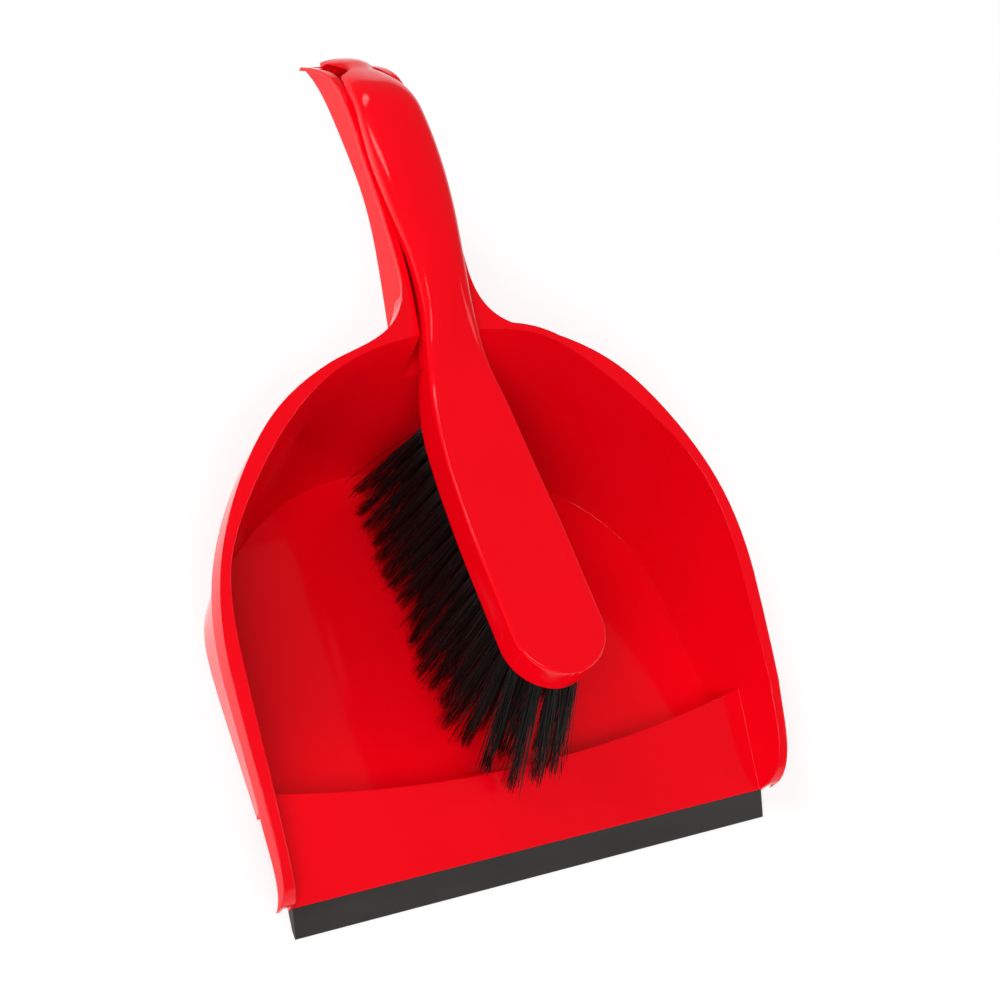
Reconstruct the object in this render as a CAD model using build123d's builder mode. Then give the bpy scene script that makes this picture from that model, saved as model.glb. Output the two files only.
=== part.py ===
"""Dustpan with a hand brush nested on its handle.

Millimetres. X runs across the pan, +Y from the lip to the handle, +Z up.
Every size below is measured from the lip: y = 0 is its front edge, z = 0 the table.
The finished parts are moved so that the origin lies on the table, under the middle
of the whole length.
"""
import os
from math import sqrt

from build123d import *

os.makedirs("parts", exist_ok=True)

# ---- driving sizes of the pan -------------------------------------------------
FAR = 150.0                # further than the set reaches sideways or upwards
AHEAD = 20.0               # clear distance in front of the lip
WALL = 2.2                 # moulded wall
LIP_HALF = 107.0           # half width of the pan at its front edge
FLOOR_BACK = 184.0         # rear of the flat floor
SIDE_STRAIGHT = 88.0       # the sides run straight back to here
SIDE_NARROWER = 2.2        # and are this much closer together there, on each side
CORNER = (96.5, 136.0)     # where the outline of the floor turns, half way round
SHOULDER = (59.0, 172.0)   # where it has turned to the back
# at these two points the walls lean, and are thick, partly sideways and partly backwards
CORNER_LEAN = (0.57, 0.3)
SHOULDER_LEAN = (0.28, 0.8)
CORNER_INWARDS = (0.85, 0.5)
SHOULDER_INWARDS = (0.35, 0.93)
WALL_TOP = 110.0           # height at which the walls' lean is stated
FRONT_LEAN = 27.0          # how far the walls lean out at that height, front end
SIDE_LEAN = 22.0           # the same at the end of the straight sides
BACK_LEAN = 20.5           # the same at the back

# ---- ramp and rubber lip --------------------------------------------------------
RAMP_FRONT = (9.6, 7.0)    # y and z of the ramp's front edge, where the rubber starts
RAMP_SLOPE = 0.31          # rise of the ramp over its run
RIDGE_MIDDLE = 39.5        # y of the ridge on the centre line
RIDGE_SIDE = 50.0          # y of the ridge at the side walls
RAMP_BACK = 70.0           # behind all of the ridge
RAMP_TOP = 60.0            # above all of the ridge
LIP_THICK = 2.6            # rubber blade
LIP_BITE = 4.0             # how far the blade reaches under the ramp
LIP_NOSE = 0.6             # blunt front edge of the blade

# ---- rim: height of its top edge along the pan and the handle -------------------
RIM_FRONT = [(9.6, 12.0), (13.0, 20.0), (26.0, 29.0), (44.0, 36.0)]
RIM_BACK = [(44.0, 36.0), (92.0, 49.5), (129.0, 60.0), (165.0, 70.8), (186.0, 78.6),
            (200.0, 85.0), (216.0, 91.4), (243.0, 97.0), (272.0, 100.2)]
RIM_END = [(272.0, 100.2), (297.0, 103.0), (310.0, 100.4), (320.0, 93.6), (331.0, 82.0)]
RIM = [RIM_FRONT, RIM_BACK, RIM_END]
# how far the skirt hangs below the rim: shallow beside the lip, deep round the back
SKIRT_FRONT = [(9.6, 6.0), (13.0, 7.0), (26.0, 8.0), (44.0, 8.0)]
SKIRT_BACK = [(44.0, 8.0), (92.0, 9.5), (129.0, 12.5), (165.0, 14.5), (186.0, 13.5),
              (200.0, 11.0), (216.0, 9.0), (243.0, 9.0), (272.0, 9.0)]
FLANGE_THICK = 2.2
SKIRT_THICK = 1.6
# outer edge of the rim in plan, from the front corner to the handle
RIM_PLAN_FRONT = [(113.4, 9.6), (116.2, 44.0), (118.0, 88.0)]
RIM_PLAN_CORNER = [(118.0, 88.0), (111.0, 129.5), (89.4, 165.5), (53.0, 191.0)]
RIM_PLAN_NECK = [(53.0, 191.0), (25.0, 201.0), (15.0, 222.0)]
RIM_TURN = (-0.93, 0.37)   # direction of the edge where corner and neck meet, right side
SKIRT_END = ((226.0, -AHEAD), (206.0, FAR))    # the slanting line where the skirt stops
HANDLE_START = 176.0       # the pan handle begins inside the pan's back wall
HANDLE_END = 331.0
HANDLE_HALF = 15.0         # half width of the pan handle over its rim
TROUGH_HALF = 11.8         # half width inside the handle
HANDLE_WALL_HALF = 13.4    # half width outside the handle's side walls
# underside of the handle, from the pan's back wall to the end
HANDLE_UNDER = [(192.0, 58.0), (214.0, 67.0), (239.0, 78.8), (258.0, 85.0), (290.0, 87.3),
                (322.0, 84.4), (331.0, 80.8)]

# ---- brush ------------------------------------------------------------------------
HEAD_HALF = 20.0
HEAD_FRONT = 50.5
HEAD_TOP = 77.0
HEAD_BOTTOM = 63.5
HEAD_EDGE = 1.4            # rounding of the head's edges
HEAD_STRAIGHT = 132.0      # the head keeps its full width back to here
HEAD_BACK = 186.0
NECK_HALF = 13.2           # half width where the head ends and the handle goes on
TUFT_ROWS = 5
TUFTS_PER_ROW = 17
ROW_STEP = 6.9
TUFT_FIRST = 59.0          # y of the first tuft of a row at the head's underside
TUFT_LAST = 172.0
TUFT_ROOT_R = 2.15
TUFT_TIP_R = 3.0
TUFT_HOLE_R = 2.3
TUFT_HOLE_DEEP = 10.0
ROW_SHORTER = 7.0          # the outermost rows start and end this much further in
TUFT_SEAT = 2.4            # room at the bottom of a hole for the anchor plate
TIP_HALF = 22.0            # the outer rows spread to this half width at the tips
TIP_HEIGHT = 6.5
TIP_FIRST = 43.8           # y of the first and last tips
TIP_LAST = 170.0
CLEAR = 0.35               # air between the brush and the pan it rests in
FOOT_SHARE = 0.84          # the handle's flat underside as a share of its width
DOME_SHARE = 0.7           # share of the half width at which the dome's middle point lies
ANCHOR = (3.6, 0.6, 1.8)   # anchor plate: width, thickness, height
# brush handle sections: y, half width, height of its underside, widest line and crown
HANDLE_SECTIONS = [
    (170.0, 15.8, 63.5, 78.0, 80.6),
    (184.0, 13.4, 70.5, 82.4, 85.6),
    (204.0, 10.9, 82.0, 91.6, 96.0),
    (223.0, 11.6, 89.5, 98.2, 103.6),
    (243.0, 13.7, 93.6, 102.2, 107.8),
    (262.0, 14.8, 95.6, 105.0, 110.8),
    (281.0, 14.4, 97.0, 107.2, 112.8),
    (296.0, 13.3, 96.0, 106.0, 111.6),
    (308.0, 12.3, 92.0, 99.4, 105.2),
    (317.0, 11.5, 88.4, 92.8, 98.8),
    (323.0, 10.8, 87.4, 90.4, 95.4),
    (327.5, 9.8, 86.2, 88.0, 91.2),
]
HANG_HOLE = (316.5, 94.2)  # y and z of the hanging hole's axis
HANG_HOLE_LONG = 17.0
HANG_HOLE_HIGH = 6.4
HANG_HOLE_TILT = -38.0     # the long axis follows the drooping end


def ramp_height(y):
    """Height of the ramp's surface at a distance behind the lip."""
    return RAMP_FRONT[1] + RAMP_SLOPE * (y - RAMP_FRONT[0])


def pan_outline(height, inset=0.0):
    """Plan outline of the pan's walls at a height, drawn into the current sketch."""
    share = height / WALL_TOP
    front = LIP_HALF + FRONT_LEAN * share - inset
    side = LIP_HALF - SIDE_NARROWER + SIDE_LEAN * share - inset
    back = FLOOR_BACK + BACK_LEAN * share - inset
    corner, shoulder = [
        (x + SIDE_LEAN * share * lean_x - inset * in_x, y + BACK_LEAN * share * lean_y - inset * in_y)
        for (x, y), (lean_x, lean_y), (in_x, in_y) in (
            (CORNER, CORNER_LEAN, CORNER_INWARDS), (SHOULDER, SHOULDER_LEAN, SHOULDER_INWARDS))]
    along = (side - front, SIDE_STRAIGHT)
    with BuildLine() as outline:
        Line((-front, 0), (front, 0))
        Line((front, 0), (side, SIDE_STRAIGHT))
        Spline([(side, SIDE_STRAIGHT), corner, shoulder, (0, back)], tangents=[along, (-1, 0)])
        Spline([(0, back), (-shoulder[0], shoulder[1]), (-corner[0], corner[1]),
                (-side, SIDE_STRAIGHT)], tangents=[(-1, 0), (along[0], -along[1])])
        Line((-side, SIDE_STRAIGHT), (-front, 0))
    make_face(outline.edges())


def rim_outline(inset=0.0):
    """Plan outline of the rim's outer edge, pan and handle together."""
    front = [(x - inset, y) for x, y in RIM_PLAN_FRONT]
    corner = [(x - inset * 0.9, y - inset * 0.45) for x, y in RIM_PLAN_CORNER[1:-1]]
    shoulder = (RIM_PLAN_CORNER[-1][0] - inset * 0.3, RIM_PLAN_CORNER[-1][1] - inset * 0.95)
    neck = (RIM_PLAN_NECK[1][0] - inset * 0.7, RIM_PLAN_NECK[1][1] - inset * 0.7)
    join = (RIM_PLAN_NECK[2][0] - inset, RIM_PLAN_NECK[2][1])
    end = HANDLE_END + 2.0
    with BuildLine() as outline:
        for side in (1, -1):
            turn = (side * RIM_TURN[0], RIM_TURN[1])
            Spline([(side * x, y) for x, y in front])
            Spline([(side * x, y) for x, y in [front[-1], *corner, shoulder]],
                   tangents=[(0, 1), turn])
            Spline([(side * x, y) for x, y in [shoulder, neck, join]],
                   tangents=[turn, (0, 1)])
            Line((side * join[0], join[1]), (side * (HANDLE_HALF - inset), end))
        Line((HANDLE_HALF - inset, end), (-(HANDLE_HALF - inset), end))
        Line((-front[0][0], front[0][1]), (front[0][0], front[0][1]))
    make_face(outline.edges())


def lowered(runs, amounts):
    """Runs of (y, z) points moved down by the amounts that go with them."""
    return [[(y, z - down) for (y, z), (_, down) in zip(run, drops)]
            for run, drops in zip(runs, amounts)]


def level(amount, runs):
    """The same amount for every point of some runs."""
    return [[(y, amount) for y, _ in run] for run in runs]


def rim_band(low, high):
    """Side view of the band between two lines that follow the rim."""
    with BuildLine() as outline:
        for runs in (low, high):
            for run in runs:
                Spline(run)
        Line(low[0][0], high[0][0])
        Line(low[-1][-1], high[-1][-1])
    make_face(outline.edges())


def ridge_front(back_by=0.0):
    """Plan region in front of the ridge line, moved forward by `back_by`."""
    wide = LIP_HALF + 40
    ends = RIDGE_MIDDLE + (RIDGE_SIDE - RIDGE_MIDDLE) * (wide / LIP_HALF) ** 2 - back_by
    with BuildLine() as outline:
        ThreePointArc((-wide, ends), (0, RIDGE_MIDDLE - back_by), (wide, ends))
        Polyline((wide, ends), (wide, -AHEAD), (-wide, -AHEAD), (-wide, ends))
    make_face(outline.edges())


# ---- pan shell ------------------------------------------------------------------
with BuildPart() as ramp_space:
    with BuildSketch(Plane.YZ):
        Polygon((-AHEAD, 0), (RAMP_BACK, 0), (RAMP_BACK, ramp_height(RAMP_BACK)),
                (-AHEAD, ramp_height(-AHEAD)), align=None)
    extrude(amount=FAR, both=True)
    with BuildSketch():
        ridge_front()
    extrude(amount=RAMP_TOP, mode=Mode.INTERSECT)

with BuildPart() as cavity:
    for height in (WALL, WALL_TOP + 5):
        with BuildSketch(Plane.XY.offset(height)):
            pan_outline(height, WALL)
    loft(ruled=True)
    add(ramp_space.part, mode=Mode.SUBTRACT)

with BuildPart() as under_ramp:
    with BuildSketch(Plane.YZ):
        Polygon((-AHEAD, -1), (RAMP_BACK, -1), (RAMP_BACK, ramp_height(RAMP_BACK) - WALL),
                (-AHEAD, ramp_height(-AHEAD) - WALL), align=None)
    extrude(amount=FAR, both=True)
    with BuildSketch(Plane.XY.offset(-1)):
        ridge_front(WALL)
    extrude(amount=RAMP_TOP, mode=Mode.INTERSECT)

with BuildPart() as above_rim:
    with BuildSketch(Plane.YZ):
        rim_band(RIM, lowered(RIM, level(-FAR, RIM)))
    extrude(amount=FAR, both=True)

with BuildPart() as trough:
    with BuildSketch(Plane.YZ):
        bed = [(y, z + WALL) for y, z in HANDLE_UNDER]
        first_y, first_z = bed[0]
        last_y, last_z = bed[-1]
        with BuildLine() as outline:
            Polyline((first_y - 12, FAR), (first_y - 12, first_z - 4), bed[0])
            Spline(bed)
            Polyline(bed[-1], (last_y + 4, last_z), (last_y + 4, FAR), (first_y - 12, FAR))
        make_face(outline.edges())
    extrude(amount=TROUGH_HALF, both=True)

with BuildPart() as flange:
    with BuildSketch(Plane.YZ):
        rim_band(lowered(RIM, level(FLANGE_THICK, RIM)), lowered(RIM, level(-2, RIM)))
    extrude(amount=FAR, both=True)
    with BuildSketch():
        rim_outline()
    extrude(amount=FAR, mode=Mode.INTERSECT)

with BuildPart() as skirt:
    with BuildSketch(Plane.YZ):
        hems = [SKIRT_FRONT, SKIRT_BACK]
        rim_band(lowered(RIM[:2], hems), lowered(RIM[:2], level(-2, RIM[:2])))
    extrude(amount=FAR, both=True)
    with BuildSketch():
        rim_outline()
    extrude(amount=FAR, mode=Mode.INTERSECT)
    with BuildSketch():
        rim_outline(SKIRT_THICK)
    extrude(amount=FAR, mode=Mode.SUBTRACT)
    # the skirt follows the pan only; the handle's own side walls take over at the neck
    with BuildSketch(Plane.YZ):
        Polygon((-AHEAD, -AHEAD), *SKIRT_END, (-AHEAD, FAR), align=None)
    extrude(amount=FAR, both=True, mode=Mode.INTERSECT)

with BuildPart() as handle:
    with BuildSketch(Plane.YZ):
        with BuildLine() as outline:
            Polyline(HANDLE_UNDER[0], (HANDLE_START, HANDLE_UNDER[0][1]), (HANDLE_START, FAR),
                     (HANDLE_END, FAR), HANDLE_UNDER[-1])
            Spline(HANDLE_UNDER)
        make_face(outline.edges())
    extrude(amount=HANDLE_WALL_HALF, both=True)

with BuildPart() as pan_shell:
    for height in (0, WALL_TOP):
        with BuildSketch(Plane.XY.offset(height)):
            pan_outline(height)
    loft(ruled=True)
    add(handle.part)
    add(flange.part)
    add(skirt.part)
    for space in (cavity, trough, under_ramp, above_rim):
        add(space.part, mode=Mode.SUBTRACT)
    # everything in front of the ramp's edge goes
    with BuildSketch(Plane.XY.offset(-1)):
        with Locations((0, RAMP_FRONT[0])):
            Rectangle(2 * FAR, 2 * AHEAD, align=(Align.CENTER, Align.MAX))
    extrude(amount=FAR, mode=Mode.SUBTRACT)

# ---- rubber lip: its foot on the table, its rear edge under the ramp -------------
with BuildPart() as lip_strip:
    edge_y, edge_z = RAMP_FRONT
    seam_z = edge_z - WALL
    bite_z = seam_z + LIP_BITE * RAMP_SLOPE
    with BuildSketch(Plane.YZ):
        Polygon((0, 0), (LIP_THICK + LIP_NOSE, 0), (edge_y, seam_z - LIP_THICK),
                (edge_y + LIP_BITE, bite_z - LIP_THICK), (edge_y + LIP_BITE, bite_z),
                (edge_y, seam_z), (edge_y, edge_z), (0, LIP_NOSE), align=None)
    extrude(amount=LIP_HALF, both=True)


# ---- brush ------------------------------------------------------------------------
def tuft_row_axes(row):
    """(root, tip) of each tuft in a row; the rows fan out towards the tips."""
    middle = (TUFT_ROWS - 1) / 2
    across = (row - middle) / middle
    # the outer rows stop short of the middle one at the round nose and at the neck
    root_first = TUFT_FIRST + ROW_SHORTER * across ** 2
    root_last = TUFT_LAST - ROW_SHORTER * across ** 2
    tip_first = TIP_FIRST + ROW_SHORTER * across ** 2
    axes = []
    for place in range(TUFTS_PER_ROW):
        along = place / (TUFTS_PER_ROW - 1)
        root_y = root_first + along * (root_last - root_first)
        tip_y = tip_first + along * (TIP_LAST - tip_first)
        root = Vector((row - middle) * ROW_STEP, root_y, HEAD_BOTTOM)
        tip = Vector(across * TIP_HALF, tip_y, TIP_HEIGHT)
        axes.append((root, tip))
    return axes


def tuft_plane(root, tip):
    """Plane at a tuft's root whose normal points from the root to the tip."""
    return Plane(origin=root, x_dir=(0, 1, 0), z_dir=(tip - root).normalized())


def dome_section(half, base, flank, crown):
    """Cross-section of the brush handle: flat underneath, widest at the flank, domed on top."""
    foot = FOOT_SHARE * half
    shoulder = (DOME_SHARE * half, flank + sqrt(1 - DOME_SHARE ** 2) * (crown - flank))
    with BuildLine() as outline:
        Line((-foot, base), (foot, base))
        for side in (1, -1):
            Spline([(side * foot, base), (side * half, flank), (side * shoulder[0], shoulder[1]),
                    (0, crown)], tangents=[(side * 0.25, 1), (-side, 0)])
    make_face(outline.edges())


with BuildPart() as head:
    with BuildSketch(Plane.XY.offset(HEAD_BOTTOM)):
        round_y = HEAD_FRONT + HEAD_HALF
        with BuildLine() as outline:
            ThreePointArc((-HEAD_HALF, round_y), (0, HEAD_FRONT), (HEAD_HALF, round_y))
            for side in (1, -1):
                Line((side * HEAD_HALF, round_y), (side * HEAD_HALF, HEAD_STRAIGHT))
                Spline([(side * HEAD_HALF, HEAD_STRAIGHT), (side * NECK_HALF, HEAD_BACK)],
                       tangents=[(0, 1), (side * -0.2, 1)])
            Line((-NECK_HALF, HEAD_BACK), (NECK_HALF, HEAD_BACK))
        make_face(outline.edges())
    extrude(amount=HEAD_TOP - HEAD_BOTTOM)
    top_edges = head.edges().group_by(Axis.Z)[-1].sort_by(Axis.Y)
    fillet(top_edges[:-1], HEAD_EDGE)

with BuildPart() as brush_handle:
    for y, half, base, flank, crown in HANDLE_SECTIONS:
        with BuildSketch(Plane.XZ.offset(-y)):
            dome_section(half, base, flank, crown)
    loft()

# where the pan handle's two rims pass below the wider brush handle
with BuildPart() as rim_rebate:
    with BuildSketch(Plane.YZ):
        rim_band(lowered(RIM, level(25, RIM)), lowered(RIM, level(-CLEAR, RIM)))
    extrude(amount=FAR, both=True)
    with BuildSketch(Plane.XY):
        with Locations((0, HEAD_BACK)):
            Rectangle(2 * (TROUGH_HALF - CLEAR), 2 * FAR)
        Rectangle(2 * FAR, 2 * HEAD_BACK)
    extrude(amount=FAR, mode=Mode.SUBTRACT)

rows = [tuft_row_axes(row) for row in range(TUFT_ROWS)]

with BuildPart() as brush_body:
    add(head.part)
    add(brush_handle.part)
    add(rim_rebate.part, mode=Mode.SUBTRACT)
    with BuildSketch(Plane.YZ):
        with Locations(Location(HANG_HOLE, HANG_HOLE_TILT)):
            SlotOverall(HANG_HOLE_LONG, HANG_HOLE_HIGH)
    extrude(amount=FAR, both=True, mode=Mode.SUBTRACT)
    for axes in rows:
        for root, tip in axes:
            with BuildSketch(tuft_plane(root, tip).offset(TUFT_HOLE_R)):
                Circle(TUFT_HOLE_R)
            extrude(amount=-TUFT_HOLE_R - TUFT_HOLE_DEEP, mode=Mode.SUBTRACT)

pieces = {"pan_shell": pan_shell, "lip_strip": lip_strip, "brush_body": brush_body}

for number, axes in enumerate(rows, start=1):
    with BuildPart() as tuft_row:
        for root, tip in axes:
            mouth = tuft_plane(root, tip)
            plug = TUFT_HOLE_DEEP - TUFT_SEAT
            with BuildSketch(mouth.offset(-plug)):
                Circle(TUFT_ROOT_R)
            extrude(amount=plug)
            with BuildSketch(mouth):
                Circle(TUFT_ROOT_R)
            with BuildSketch(mouth.offset((tip - root).length)):
                Circle(TUFT_TIP_R)
            loft()
    pieces[f"tuft_row_{number}"] = tuft_row

    with BuildPart() as tuft_anchors:
        width, thick, tall = ANCHOR
        for root, tip in axes:
            with BuildSketch(tuft_plane(root, tip).offset(-TUFT_HOLE_DEEP)):
                Rectangle(thick, width)
            extrude(amount=tall)
    pieces[f"tuft_anchors_{number}"] = tuft_anchors

# ---- export -------------------------------------------------------------------------
for name, piece in pieces.items():
    centred = Pos(0, -HANDLE_END / 2, 0) * piece.part
    centred.label = name
    export_step(centred, f"parts/{name}.step")
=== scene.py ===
"""A red dustpan with its hand brush resting on the handle: looks, bristles, camera and light."""

from math import cos, pi, radians, sin

import bmesh
import bpy
import numpy as np
from mathutils import Matrix, Vector


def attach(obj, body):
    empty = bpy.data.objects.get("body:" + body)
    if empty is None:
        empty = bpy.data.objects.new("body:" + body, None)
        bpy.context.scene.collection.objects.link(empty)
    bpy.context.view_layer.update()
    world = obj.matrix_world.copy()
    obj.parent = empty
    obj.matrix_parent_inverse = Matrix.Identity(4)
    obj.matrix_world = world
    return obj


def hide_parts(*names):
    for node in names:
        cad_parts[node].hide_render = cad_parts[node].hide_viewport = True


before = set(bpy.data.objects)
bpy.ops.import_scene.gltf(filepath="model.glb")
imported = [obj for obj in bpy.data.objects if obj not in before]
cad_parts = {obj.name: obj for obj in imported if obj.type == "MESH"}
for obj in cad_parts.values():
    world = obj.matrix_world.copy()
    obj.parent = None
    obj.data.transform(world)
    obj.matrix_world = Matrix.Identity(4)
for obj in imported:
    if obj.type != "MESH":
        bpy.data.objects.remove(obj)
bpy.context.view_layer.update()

MM = 0.001
MIDDLE = 165.5             # millimetres from the lip's front edge to the frame's origin
# All shapes below are in millimetres, with y measured from the lip's front edge.

# ---- camera: the photo's viewing angle ---------------------------------------------
AIM = Vector((0.0349, -0.0132, 0.0194))
DISTANCE = 0.9035
AZIMUTH = radians(-53.86)
ELEVATION = radians(51.24)
ROLL = radians(37.87)
LENS_MM = 78.5


def add_camera():
    """The camera looks at AIM from the front left and above, and leans to one side."""
    forward = Vector((-sin(AZIMUTH) * cos(ELEVATION), cos(AZIMUTH) * cos(ELEVATION), -sin(ELEVATION)))
    level = Vector((cos(AZIMUTH), sin(AZIMUTH), 0.0))
    lifted = level.cross(forward)
    right = cos(ROLL) * level + sin(ROLL) * lifted
    up = right.cross(forward)
    data = bpy.data.cameras.new("photo_camera")
    data.lens = LENS_MM
    data.sensor_width = 36.0
    data.clip_start = 0.01
    camera = bpy.data.objects.new("photo_camera", data)
    turn = Matrix((right, up, -forward)).transposed().to_4x4()
    camera.matrix_world = Matrix.Translation(AIM - forward * DISTANCE) @ turn
    bpy.context.scene.collection.objects.link(camera)
    bpy.context.scene.camera = camera


# ---- materials ------------------------------------------------------------------------
def principled(name, colour, roughness, **sockets):
    """A Principled material with constants on its own sockets, its node tree and its shader."""
    material = bpy.data.materials.new(name)
    material.use_nodes = True
    tree = material.node_tree
    shader = tree.nodes["Principled BSDF"]
    shader.inputs["Base Color"].default_value = (*colour, 1.0)
    shader.inputs["Roughness"].default_value = roughness
    for socket, value in sockets.items():
        shader.inputs[socket.replace("_", " ")].default_value = value
    return material, tree, shader


def noise(tree, scale, detail, stretch=(1, 1, 1)):
    """A noise texture over the object's own coordinates."""
    place = tree.nodes.new("ShaderNodeTexCoord")
    spread = tree.nodes.new("ShaderNodeMapping")
    spread.inputs["Scale"].default_value = stretch
    texture = tree.nodes.new("ShaderNodeTexNoise")
    texture.inputs["Scale"].default_value = scale
    texture.inputs["Detail"].default_value = detail
    tree.links.new(place.outputs["Object"], spread.inputs["Vector"])
    tree.links.new(spread.outputs["Vector"], texture.inputs["Vector"])
    return texture.outputs["Fac"]


def vary(tree, source, socket, low, high):
    """Drives a number or colour socket between two values by a noise of about 0.3 to 0.7."""
    spread = tree.nodes.new("ShaderNodeMapRange")
    limits = [0.3, 0.7, low, high]
    if isinstance(low, tuple):
        spread.data_type = "FLOAT_VECTOR"
        limits = [(0.3, 0.3, 0.3), (0.7, 0.7, 0.7), low, high]
    value, *ends = [i for i in spread.inputs if i.enabled]
    for end, limit in zip(ends, limits):
        end.default_value = limit
    tree.links.new(source, value)
    tree.links.new(next(o for o in spread.outputs if o.enabled), socket)


def bump(tree, shader, source, strength, depth, rounding):
    """Surface relief from a noise, on edges rounded by a radius in millimetres."""
    edge = tree.nodes.new("ShaderNodeBevel")
    edge.samples = 6
    edge.inputs["Radius"].default_value = rounding * MM
    relief = tree.nodes.new("ShaderNodeBump")
    relief.inputs["Strength"].default_value = strength
    relief.inputs["Distance"].default_value = depth * MM
    tree.links.new(source, relief.inputs["Height"])
    tree.links.new(edge.outputs["Normal"], relief.inputs["Normal"])
    tree.links.new(relief.outputs["Normal"], shader.inputs["Normal"])


def red_plastic(name):
    """Glossy moulded plastic: faint waves from the mould, rub marks that dull the gloss a little."""
    material, tree, shader = principled(name, (0.93, 0.0006, 0.008), 0.06, IOR=1.2,
                                        Specular_IOR_Level=0.9)
    bump(tree, shader, noise(tree, 55.0, 1.0), strength=0.05, depth=0.4, rounding=0.9)
    rub = noise(tree, 14.0, 6.0)
    vary(tree, rub, shader.inputs["Roughness"], 0.045, 0.13)
    vary(tree, rub, shader.inputs["Base Color"], (0.90, 0.0005, 0.007), (0.95, 0.0008, 0.009))
    return material


def lip_rubber(name):
    """Matt dark rubber with a fine grain along the strip, scuffed in places."""
    material, tree, shader = principled(name, (0.024, 0.020, 0.019), 0.5, Specular_IOR_Level=0.45)
    grain = noise(tree, 900.0, 3.0, (0.4, 1, 1))
    bump(tree, shader, grain, strength=0.25, depth=0.15, rounding=0.4)
    scuffs = noise(tree, 60.0, 5.0, (0.3, 1, 1))
    vary(tree, scuffs, shader.inputs["Roughness"], 0.42, 0.62)
    vary(tree, scuffs, shader.inputs["Base Color"], (0.020, 0.017, 0.016), (0.030, 0.025, 0.024))
    return material


def black_fibre(name):
    """Springy black filaments, some a little browner and duller than others."""
    material, tree, shader = principled(name, (0.006, 0.006, 0.006), 0.4, Specular_IOR_Level=0.3)
    shades = noise(tree, 420.0, 2.0, (1, 1, 0.05))
    vary(tree, shades, shader.inputs["Roughness"], 0.3, 0.55)
    vary(tree, shades, shader.inputs["Base Color"], (0.004, 0.004, 0.004), (0.011, 0.009, 0.008))
    return material


def anchor_steel(name):
    """Cut steel strip, brushed and slightly stained."""
    material, tree, shader = principled(name, (0.60, 0.59, 0.57), 0.3, Metallic=1.0)
    grain = noise(tree, 700.0, 3.0, (1, 1, 0.1))
    bump(tree, shader, grain, strength=0.2, depth=0.05, rounding=0.1)
    vary(tree, grain, shader.inputs["Roughness"], 0.22, 0.45)
    vary(tree, grain, shader.inputs["Base Color"], (0.50, 0.48, 0.46), (0.66, 0.65, 0.63))
    return material


# ---- shapes -----------------------------------------------------------------------------
def curve(points):
    """A smooth function through (at, value...) points: cubic pieces with averaged slopes."""
    table = np.array(points, float)
    at, values = table[:, 0], table[:, 1:]
    steps = np.diff(values, axis=0) / np.diff(at)[:, None]
    inner = (steps[:-1] + steps[1:]) / 2
    slopes = np.vstack([steps[:1], inner, steps[-1:]])

    def value(t):
        k = int(np.clip(np.searchsorted(at, t) - 1, 0, len(at) - 2))
        span = at[k + 1] - at[k]
        u = np.clip((t - at[k]) / span, 0.0, 1.0)
        a = (1 + 2 * u) * (1 - u) ** 2
        b = u * u * (3 - 2 * u)
        c = u * (1 - u) ** 2 * span
        d = u * u * (u - 1) * span
        return a * values[k] + b * values[k + 1] + c * slopes[k] + d * slopes[k + 1]

    return value


def solid_mesh(name, points, faces):
    """A mesh from points in millimetres, its faces all turned outwards."""
    mesh = bpy.data.meshes.new(name)
    mesh.from_pydata([(x * MM, (y - MIDDLE) * MM, z * MM) for x, y, z in points], [], faces)
    tidy = bmesh.new()
    tidy.from_mesh(mesh)
    bmesh.ops.recalc_face_normals(tidy, faces=tidy.faces)
    tidy.to_mesh(mesh)
    tidy.free()
    return mesh


def brush_piece(name, points, faces, material, node):
    """A smooth mesh object from points in millimetres, riding on the brush in place of a node."""
    mesh = solid_mesh(name, points, faces)
    mesh.polygons.foreach_set("use_smooth", [True] * len(mesh.polygons))
    piece = bpy.data.objects.new(name, mesh)
    bpy.context.scene.collection.objects.link(piece)
    mesh.materials.append(material)
    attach(piece, "brush")
    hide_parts(node)
    return piece


def tube_faces(rings, around):
    """Quads between successive rings of points, and one flat face on each end."""
    faces = []
    for r in range(rings - 1):
        for k in range(around):
            a = r * around + k
            b = r * around + (k + 1) % around
            faces.append((a, b, b + around, a + around))
    faces.append(tuple(reversed(range(around))))
    faces.append(tuple((rings - 1) * around + k for k in range(around)))
    return faces


# ---- brush body ---------------------------------------------------------------------------
# y: half width, underside z, z of the widest line, crown z, share of the width that is rounded
BRUSH = curve([
    (70.5, 20.0, 63.5, 76.0, 77.4, 0.07),
    (90.0, 20.0, 63.5, 76.0, 77.4, 0.07),
    (110.0, 20.0, 63.5, 76.0, 77.4, 0.07),
    (126.0, 19.5, 63.5, 76.0, 77.5, 0.07),
    (145.0, 18.5, 63.6, 76.8, 78.4, 0.08),
    (165.0, 16.6, 64.8, 78.8, 81.0, 0.14),
    (184.0, 13.4, 70.5, 82.4, 85.6, 0.35),
    (204.0, 10.9, 82.0, 91.6, 96.0, 0.85),
    (223.0, 11.6, 90.5, 98.2, 103.6, 1.0),
    (243.0, 13.7, 95.0, 102.2, 107.8, 1.0),
    (262.0, 14.8, 96.8, 105.0, 110.8, 1.0),
    (281.0, 14.4, 98.0, 107.2, 112.8, 1.0),
    (291.0, 13.7, 98.0, 107.4, 112.9, 1.0),
    (299.0, 13.0, 95.4, 105.0, 110.6, 1.0),
    (308.0, 12.3, 92.0, 99.6, 105.2, 1.0),
    (317.0, 11.5, 88.8, 92.8, 98.8, 1.0),
    (323.0, 10.8, 87.8, 90.4, 95.4, 1.0),
    (327.5, 9.8, 86.6, 88.0, 91.2, 1.0),
])
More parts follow.
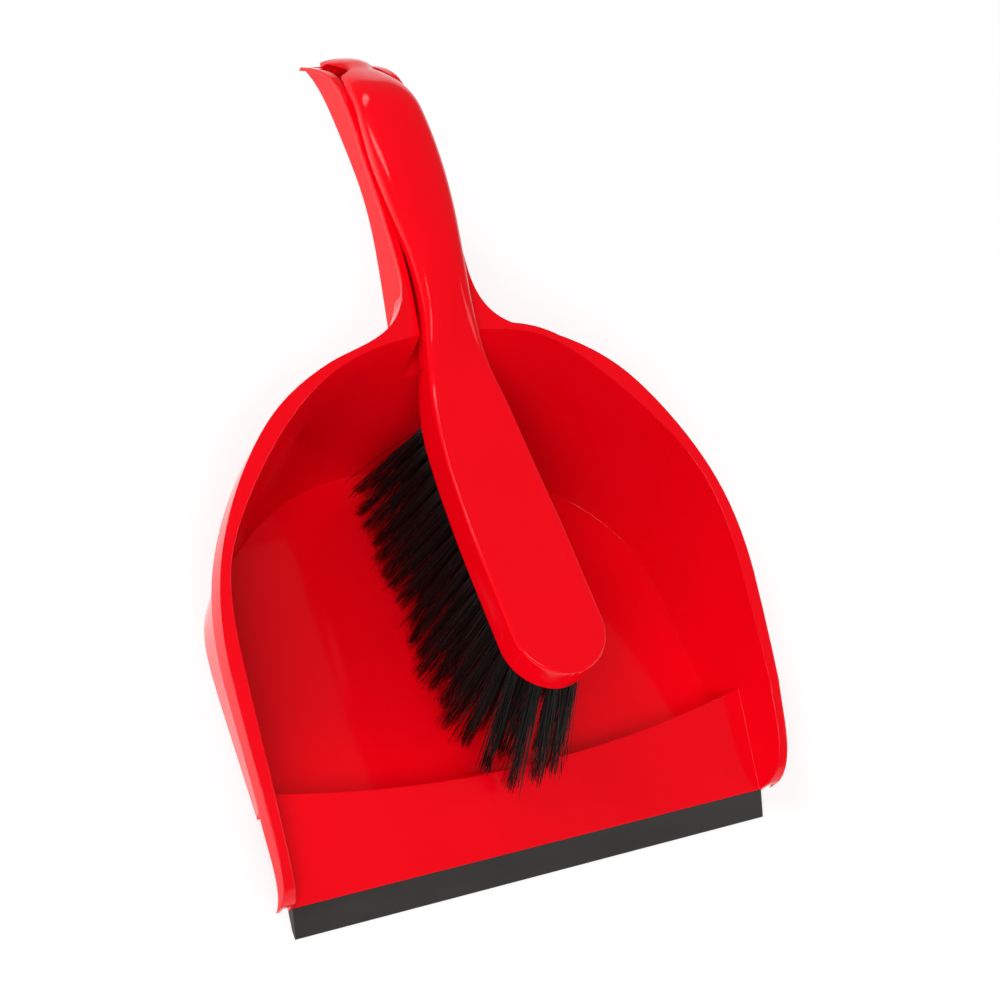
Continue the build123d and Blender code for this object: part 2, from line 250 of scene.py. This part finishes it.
# y and height of the pan handle's rims, over which the brush handle lies
RIM = curve([(186.0, 78.6), (200.0, 85.0), (216.0, 91.4), (243.0, 97.0), (272.0, 100.2),
             (297.0, 103.0), (310.0, 100.4), (320.0, 93.6), (331.0, 82.0)])
NOSE_Y, NOSE_R = 50.5, 20.0          # front of the head and radius of its round nose
HEAD_BACK = 186.0
HANDLE_BACK = 327.5
EDGE_R = 1.3                         # rounding of the head's edges
FOOT_NARROWER = 0.12                 # share by which a rounded section's foot is narrower
TROUGH = 11.35                       # half width of the part that lies in the trough
OVER_RIM = 0.45                      # air over the pan handle's rims
HAIRLINE = 0.02                      # keeps two neighbouring points apart where nothing steps
SKIN_TO_LEDGE = 0.3                  # least height of the part below the ledge
DOMED = 0.9                          # largest share of the half width that the dome rounds
FIRST_RING = 0.12                    # angle round the nose of the first section
HOLE_Y, HOLE_Z = 316.5, 94.2         # axis of the hanging hole
HOLE_LONG, HOLE_HIGH = 17.0, 6.4
HOLE_TILT = radians(-38.0)
HOLE_REACH = 30.0                    # the cutter goes this far to both sides
SHARP = radians(40)                  # edges steeper than this aren't shaded as round


def section(y):
    """Closed cross-section at y: narrow inside the pan handle's trough, wide above its rims."""
    half, under, edge, crown, rounded = BRUSH(max(y, NOSE_Y + NOSE_R))
    if y < NOSE_Y + NOSE_R:
        half = np.sqrt(NOSE_R ** 2 - (NOSE_Y + NOSE_R - y) ** 2)
    reach = min(max(rounded * half, EDGE_R), DOMED * half)
    corner = min(EDGE_R, half / 2)
    foot = half * (1 - FOOT_NARROWER * rounded)

    def width(z):
        if z < edge:
            return foot + (half - foot) * np.sin((z - under) / (edge - under) * pi / 2)
        return half - reach + reach * np.sqrt(max(1 - ((z - edge) / (crown - edge)) ** 2, 0.0))

    ledge = (under + edge) / 2
    inner = width(ledge) - HAIRLINE
    if y > HEAD_BACK:
        ledge = max(RIM(y)[0] + OVER_RIM, under + corner + SKIN_TO_LEDGE)
        inner = min(TROUGH, width(ledge) - HAIRLINE)
    bottom = min(inner, foot)
    right = [(bottom - corner * (1 - np.sin(a)), under + corner * (1 - np.cos(a)))
             for a in np.linspace(0, pi / 2, 4)]
    right += [(inner, ledge)]
    right += [(width(z), z) for z in ledge + (crown - ledge) * np.sin(np.linspace(0, pi / 2, 26))]
    right += [((half - reach) * u, crown) for u in (0.75, 0.5, 0.25)]
    loop = right + [(0.0, crown)] + [(-x, z) for x, z in reversed(right)] + [(0.0, under)]
    return [(x, y, z) for x, z in loop]


def cut_hang_hole(piece):
    """The long transverse hole through the handle's drooping end."""
    radius = HOLE_HIGH / 2
    outline = []
    for end in (1, -1):
        for a in np.linspace(-pi / 2, pi / 2, 13):
            outline.append((end * (HOLE_LONG / 2 - radius + cos(a) * radius), end * sin(a) * radius))
    points = []
    for x in (-HOLE_REACH, HOLE_REACH):
        for u, v in outline:
            points.append((x, HOLE_Y + u * cos(HOLE_TILT) - v * sin(HOLE_TILT),
                           HOLE_Z + u * sin(HOLE_TILT) + v * cos(HOLE_TILT)))
    cutter = bpy.data.objects.new(
        "hang_hole_cutter", solid_mesh("hang_hole_cutter", points, tube_faces(2, len(outline))))
    bpy.context.scene.collection.objects.link(cutter)
    cut = piece.modifiers.new("hang_hole", "BOOLEAN")
    cut.object = cutter
    cut.operation = "DIFFERENCE"
    cut.solver = "EXACT"
    cut.use_self = True
    bpy.context.view_layer.update()
    ready = piece.evaluated_get(bpy.context.evaluated_depsgraph_get())
    piece.data = bpy.data.meshes.new_from_object(ready)
    piece.modifiers.clear()
    bpy.data.objects.remove(cutter)
    piece.data.set_sharp_from_angle(angle=SHARP)


def brush_body(material):
    """Head, neck and handle in one skin, with the hanging hole."""
    stations = [NOSE_Y + NOSE_R * (1 - np.cos(a)) for a in np.linspace(FIRST_RING, pi / 2, 14)]
    stations += list(np.linspace(NOSE_Y + NOSE_R, HANDLE_BACK, 110))[1:]
    rings = [section(y) for y in stations]
    points = [point for ring in rings for point in ring]
    piece = brush_piece("brush_body_skin", points, tube_faces(len(rings), len(rings[0])), material,
                        "brush_body")
    cut_hang_hole(piece)


# ---- bristles -------------------------------------------------------------------------------
ROWS, PER_ROW = 5, 17
FILAMENTS = 46             # in each tuft
HEAD_UNDER = 63.5
ROOT_HALF = 13.8           # half width over the outer rows at the head
TIP_HALF = 21.0            # and at the tips
FIRST_ROOT, ROOT_RUN = 59.0, 113.0
FIRST_TIP, TIP_RUN = 43.8, 126.2
ROW_SHORTER = 7.0          # the outermost rows start and end this much further in
TIP_HEIGHT = 5.0
ON_RAMP = 0.13             # share of each row that presses on the ramp
SPLAY = np.array([-2.0, -11.0, 13.0])                # how far the ramp moves the first tip
SPLAY_INWARDS = np.array([3.0, 0.0, 0.0])            # and how much further on the outer rows
TUFT_R = 2.0               # radius of a tuft at the head
IN_HOLE = 3.0              # the filaments start this far inside their hole
STEPS, SIDES = 5, 3        # rings along a filament and corners of each ring
TAPER = 0.45               # share of its thickness that a filament loses towards its tip
FLARE = 0.7                # how far the outer filaments curve outwards
STRAY_SHARE, STRAY_BY = 0.07, 2.4    # filaments out of line, and how much more they scatter


def tuft_ends(row, place):
    """Root and tip centres of one tuft."""
    middle = (ROWS - 1) / 2
    across = (row - middle) / middle
    shorter = ROW_SHORTER * across ** 2
    along = place / (PER_ROW - 1)
    root = np.array([across * ROOT_HALF, FIRST_ROOT + shorter + along * (ROOT_RUN - 2 * shorter),
                     HEAD_UNDER])
    tip = np.array([across * TIP_HALF, FIRST_TIP + shorter + along * (TIP_RUN - shorter),
                    TIP_HEIGHT])
    # the first tufts press on the ramp and splay forward over its ridge
    press = max(0.0, 1 - along / ON_RAMP)
    tip += press * (SPLAY - across * SPLAY_INWARDS)
    return root, tip


def filament(points, faces, start, end, bow, outwards, radius, turn):
    """Adds one bristle: a thin three-sided rod that bows and splays towards its tip."""
    base = len(points)
    for step in range(STEPS):
        t = step / (STEPS - 1)
        centre = start + (end - start) * t
        centre[:2] += bow * np.sin(t * pi) + outwards * FLARE * t * t
        thickness = radius * (1 - TAPER * t * t)
        for k in range(SIDES):
            a = turn + 2 * pi * k / SIDES
            points.append(centre + np.array([np.cos(a), np.sin(a), 0]) * thickness)
    faces += [tuple(base + i for i in face) for face in tube_faces(STEPS, SIDES)]


def bristle_row(row, material, random):
    """One row of tufts, each filament a rod of its own."""
    points, faces = [], []
    for place in range(PER_ROW):
        root, tip = tuft_ends(row, place)
        # each tuft leans its own way, gathers towards its tip and ends at its own height
        tip = tip + random.normal(0, 1, 3) * np.array([1.3, 1.6, 0.0])
        tip[2] += abs(random.normal(0, 1.2))
        gathered = random.uniform(1.5, 2.7)
        for _ in range(FILAMENTS):
            turn = random.uniform(0, 2 * pi)
            out = np.sqrt(random.uniform(0, 1))
            where = np.array([np.cos(turn), np.sin(turn), 0.0]) * out
            start = root + where * TUFT_R + np.array([0, 0, IN_HOLE])
            stray = STRAY_BY if random.uniform() < STRAY_SHARE else 1.0
            scatter = random.normal(0, 0.8, 3) * np.array([stray, stray, 0.0])
            end = tip + where * gathered * stray + scatter
            end[2] += abs(random.normal(0, 1.8)) + 2.2 * out
            filament(points, faces, start, end, random.normal(0, 0.7, 2), where[:2],
                     random.uniform(0.17, 0.23), turn)
    brush_piece(f"bristles_{row + 1}", points, faces, material, f"tuft_row_{row + 1}")


# ---- the set --------------------------------------------------------------------------------
add_camera()
brush_body(red_plastic("brush_body_skin"))
black = black_fibre("bristles")
random = np.random.default_rng(7)
for row in range(ROWS):
    bristle_row(row, black, random)

# the CAD meshes, of which the pan, the lip and the anchors are shown
LOOKS = {
    "pan_shell": (red_plastic, "pan_plastic"),
    "lip_strip": (lip_rubber, "lip_rubber"),
    "brush_body": (red_plastic, "brush_plastic"),
    "tuft_row": (black_fibre, "bristle"),
    "tuft_anchors": (anchor_steel, "anchor_steel"),
}
for name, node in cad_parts.items():
    look, slot = LOOKS[name.rstrip("_0123456789")]
    node.data.materials.clear()
    node.data.materials.append(look(name))

# ---- floor and light ------------------------------------------------------------------------
FLOOR_HALF = 15.0          # metres
corners = [(x * FLOOR_HALF, y * FLOOR_HALF, 0) for x, y in ((-1, -1), (1, -1), (1, 1), (-1, 1))]
floor_mesh = bpy.data.meshes.new("floor")
floor_mesh.from_pydata(corners, [], [(0, 1, 2, 3)])
floor = bpy.data.objects.new("floor", floor_mesh)
bpy.context.scene.collection.objects.link(floor)
paper = principled("floor", (0.45, 0.45, 0.45), 0.8, Emission_Color=(1, 1, 1, 1),
                   Emission_Strength=0.62)[0]
floor.data.materials.append(paper)

world = bpy.data.worlds.new("world")
world.use_nodes = True
world.node_tree.nodes["Background"].inputs["Color"].default_value = (1, 1, 1, 1)
world.node_tree.nodes["Background"].inputs["Strength"].default_value = 0.26
bpy.context.scene.world = world
bpy.context.scene.view_settings.view_transform = "Standard"


def softbox(name, place, size, power):
    """A rectangular lamp that faces the set; place and size in metres, power in watts."""
    lamp = bpy.data.lights.new(name, "AREA")
    lamp.shape = "RECTANGLE"
    lamp.size, lamp.size_y = size
    lamp.energy = power
    light = bpy.data.objects.new(name, lamp)
    light.location = place
    look = Vector((0, 0, 0.05)) - light.location
    light.rotation_euler = look.to_track_quat("-Z", "Y").to_euler()
    bpy.context.scene.collection.objects.link(light)


# the key stands beside the camera, the fill low on the right; the window and the strip draw
# highlights on the handle and along the left-hand edges
softbox("key", (-1.0, -0.9, 1.5), (1.0, 1.0), 22)
softbox("fill", (1.5, -0.6, 0.75), (0.9, 0.9), 7)
softbox("window", (-0.44, 1.36, 1.1), (0.7, 0.4), 7)
softbox("edge_strip", (-1.02, 0.67, 1.1), (0.12, 0.9), 4.5)
